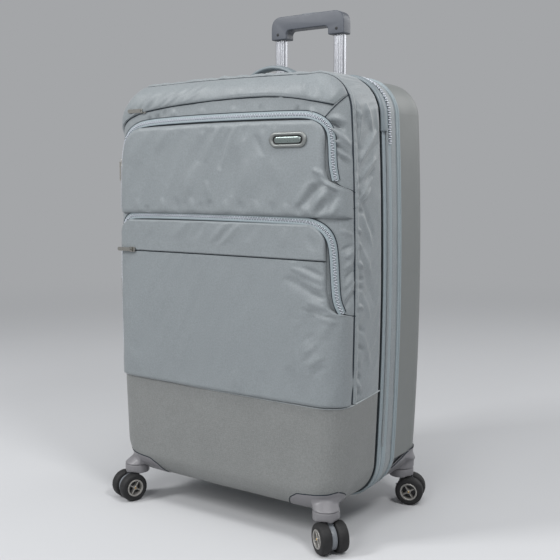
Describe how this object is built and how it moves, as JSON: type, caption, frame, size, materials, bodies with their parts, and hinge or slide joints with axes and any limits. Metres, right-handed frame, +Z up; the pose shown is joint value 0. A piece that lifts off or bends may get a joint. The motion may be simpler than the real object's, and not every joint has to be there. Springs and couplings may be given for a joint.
{
  "type": "softside upright suitcase",
  "caption": "Tall upright suitcase with a soft pocketed front, hard back shell, side-opening lid, expansion gusset, pull-out trolley handle and swivelling twin-wheel casters.",
  "frame": {"origin": "on the floor under the middle of the case, with the casters on z = 0", "axes": "+Z up, -Y the pocket side that faces forward, +X right as seen from the front, the lid's hinge side"},
  "size_m": [0.5313, 0.3537, 0.9285],
  "materials": {
    "shell": "fine-grained matt moulded shell",
    "trim": "woven piping and binding",
    "fabric": "smooth coated polyester",
    "bucket": "fine diagonal texture",
    "lining": "plain woven lining",
    "housing": "satin moulded plastic",
    "frame_plastic": "moulded plastic",
    "caster_plastic": "satin moulded plastic",
    "steel": "zinc plated",
    "aluminium": "fluted satin anodised",
    "grip": "soft-touch moulded grip",
    "zip_metal": "brushed gunmetal",
    "badge_metal": "satin metal",
    "tyre": "polyurethane tread",
    "hub": "silver painted",
    "axle_brass": "plated rivet"
  },
  "bodies": {
    "back_half": {"back_shell": "shell", "back_rim": "trim", "side_band": "fabric", "rear_housings": "housing", "rear_kingpins": "steel", "outer_tubes": "aluminium", "tube_foot": "frame_plastic", "trolley_bezel": "housing", "tube_cover": "lining", "top_handle": "fabric", "side_handle": "fabric"},
    "lid_frame": {"lid_ring": "trim", "expansion_gusset": "fabric", "edge_sliders": "zip_metal"},
    "front_half": {"front_shell": "fabric", "bucket": "bucket", "upper_pocket": "fabric", "lower_pocket": "fabric", "badge": "badge_metal", "front_housings": "housing", "front_kingpins": "steel", "pocket_sliders": "zip_metal"},
    "trolley": {"inner_tubes": "aluminium", "grip": "grip", "grip_rivets": "steel"},
    "release": {"release_button": "grip", "release_rods": "steel"},
    "lock_left": {"lock_pin_left": "steel"},
    "lock_right": {"lock_pin_right": "steel"},
    "caster_front_right": {"fork_front_right": "caster_plastic", "axle_front_right": "axle_brass"},
    "wheel_front_right_a": {"tyre_front_right_a": "tyre", "hub_front_right_a": "hub"},
    "wheel_front_right_b": {"tyre_front_right_b": "tyre", "hub_front_right_b": "hub"},
    "caster_front_left": {"fork_front_left": "caster_plastic", "axle_front_left": "axle_brass"},
    "wheel_front_left_a": {"tyre_front_left_a": "tyre", "hub_front_left_a": "hub"},
    "wheel_front_left_b": {"tyre_front_left_b": "tyre", "hub_front_left_b": "hub"},
    "caster_back_right": {"fork_back_right": "caster_plastic", "axle_back_right": "axle_brass"},
    "wheel_back_right_a": {"tyre_back_right_a": "tyre", "hub_back_right_a": "hub"},
    "wheel_back_right_b": {"tyre_back_right_b": "tyre", "hub_back_right_b": "hub"},
    "caster_back_left": {"fork_back_left": "caster_plastic", "axle_back_left": "axle_brass"},
    "wheel_back_left_a": {"tyre_back_left_a": "tyre", "hub_back_left_a": "hub"},
    "wheel_back_left_b": {"tyre_back_left_b": "tyre", "hub_back_left_b": "hub"},
    "pull_top": {"pull_top": "zip_metal"},
    "pull_upper": {"pull_upper": "zip_metal"},
    "pull_lower": {"pull_lower": "zip_metal"},
    "pull_slit": {"pull_slit": "zip_metal"},
    "pull_main_upper": {"pull_main_upper": "zip_metal"},
    "pull_main_lower": {"pull_main_lower": "zip_metal"},
    "pull_expansion": {"pull_expansion": "zip_metal"}
  },
  "joints": [
    {"name": "lid_hinge", "type": "hinge", "parent": "back_half", "child": "lid_frame", "pos_m": [0.254, 0.00975, 0.42], "axis": [0, 0, 1], "range_deg": [0, 165]},
    {"name": "expansion_slide", "type": "slide", "parent": "lid_frame", "child": "front_half", "axis": [0, -1, 0], "range_m": [0, 0.04]},
    {"name": "trolley_slide", "type": "slide", "parent": "back_half", "child": "trolley", "axis": [0, 0, 1], "range_m": [-0.098, 0.222]},
    {"name": "release_press", "type": "slide", "parent": "trolley", "child": "release", "axis": [0, 0, -1], "range_m": [0, 0.0035], "stiffness_N_per_m": 500, "springref_m": -0.004},
    {"name": "lock_left_slide", "type": "slide", "parent": "trolley", "child": "lock_left", "axis": [1, 0, 0], "range_m": [0, 0.003]},
    {"name": "lock_right_slide", "type": "slide", "parent": "trolley", "child": "lock_right", "axis": [-1, 0, 0], "range_m": [0, 0.003]},
    {"name": "swivel_front_right", "type": "hinge", "parent": "front_half", "child": "caster_front_right", "pos_m": [0.214, -0.127, 0.06], "axis": [0, 0, 1], "continuous": true},
    {"name": "spin_front_right_a", "type": "hinge", "parent": "caster_front_right", "child": "wheel_front_right_a", "pos_m": [0.22875, -0.13732, 0.026], "axis": [0.5736, 0.8192, 0], "continuous": true},
    {"name": "spin_front_right_b", "type": "hinge", "parent": "caster_front_right", "child": "wheel_front_right_b", "pos_m": [0.22875, -0.13732, 0.026], "axis": [0.5736, 0.8192, 0], "continuous": true},
    {"name": "swivel_front_left", "type": "hinge", "parent": "front_half", "child": "caster_front_left", "pos_m": [-0.214, -0.127, 0.06], "axis": [0, 0, 1], "continuous": true},
    {"name": "spin_front_left_a", "type": "hinge", "parent": "caster_front_left", "child": "wheel_front_left_a", "pos_m": [-0.21941, -0.14417, 0.026], "axis": [0.9537, -0.3007, 0], "continuous": true},
    {"name": "spin_front_left_b", "type": "hinge", "parent": "caster_front_left", "child": "wheel_front_left_b", "pos_m": [-0.21941, -0.14417, 0.026], "axis": [0.9537, -0.3007, 0], "continuous": true},
    {"name": "swivel_back_right", "type": "hinge", "parent": "back_half", "child": "caster_back_right", "pos_m": [0.214, 0.143, 0.06], "axis": [0, 0, 1], "continuous": true},
    {"name": "spin_back_right_a", "type": "hinge", "parent": "caster_back_right", "child": "wheel_back_right_a", "pos_m": [0.23117, 0.14841, 0.026], "axis": [-0.3007, 0.9537, 0], "continuous": true},
    {"name": "spin_back_right_b", "type": "hinge", "parent": "caster_back_right", "child": "wheel_back_right_b", "pos_m": [0.23117, 0.14841, 0.026], "axis": [-0.3007, 0.9537, 0], "continuous": true},
    {"name": "swivel_back_left", "type": "hinge", "parent": "back_half", "child": "caster_back_left", "pos_m": [-0.214, 0.143, 0.06], "axis": [0, 0, 1], "continuous": true},
    {"name": "spin_back_left_a", "type": "hinge", "parent": "caster_back_left", "child": "wheel_back_left_a", "pos_m": [-0.23117, 0.14841, 0.026], "axis": [-0.3007, -0.9537, 0], "continuous": true},
    {"name": "spin_back_left_b", "type": "hinge", "parent": "caster_back_left", "child": "wheel_back_left_b", "pos_m": [-0.23117, 0.14841, 0.026], "axis": [-0.3007, -0.9537, 0], "continuous": true},
    {"name": "pull_top_swing", "type": "hinge", "parent": "front_half", "child": "pull_top", "pos_m": [-0.168, -0.1465, 0.731], "axis": [0, 0, 1], "range_deg": [0, 165]},
    {"name": "pull_upper_swing", "type": "hinge", "parent": "front_half", "child": "pull_upper", "pos_m": [-0.24569, -0.12557, 0.64], "axis": [-0.5721, 0.8202, 0], "range_deg": [0, 165]},
    {"name": "pull_lower_swing", "type": "hinge", "parent": "front_half", "child": "pull_lower", "pos_m": [-0.24569, -0.12557, 0.42], "axis": [-0.5721, 0.8202, 0], "range_deg": [0, 165]},
    {"name": "pull_slit_swing", "type": "hinge", "parent": "front_half", "child": "pull_slit", "pos_m": [-0.192, -0.1555, 0.481], "axis": [0, 0, 1], "range_deg": [0, 165]},
    {"name": "pull_main_upper_swing", "type": "hinge", "parent": "lid_frame", "child": "pull_main_upper", "pos_m": [-0.2545, 0.0097, 0.56], "axis": [0, 1, 0], "range_deg": [0, 165]},
    {"name": "pull_main_lower_swing", "type": "hinge", "parent": "lid_frame", "child": "pull_main_lower", "pos_m": [-0.2545, 0.0097, 0.3], "axis": [0, 1, 0], "range_deg": [0, 165]},
    {"name": "pull_expansion_swing", "type": "hinge", "parent": "lid_frame", "child": "pull_expansion", "pos_m": [-0.2545, -0.003, 0.23], "axis": [0, 1, 0], "range_deg": [0, 165]}
  ],
  "couplings": [
    {"joint": "lock_left_slide", "follows": "release_press", "ratio": 0.75},
    {"joint": "lock_right_slide", "follows": "release_press", "ratio": 0.75}
  ]
}
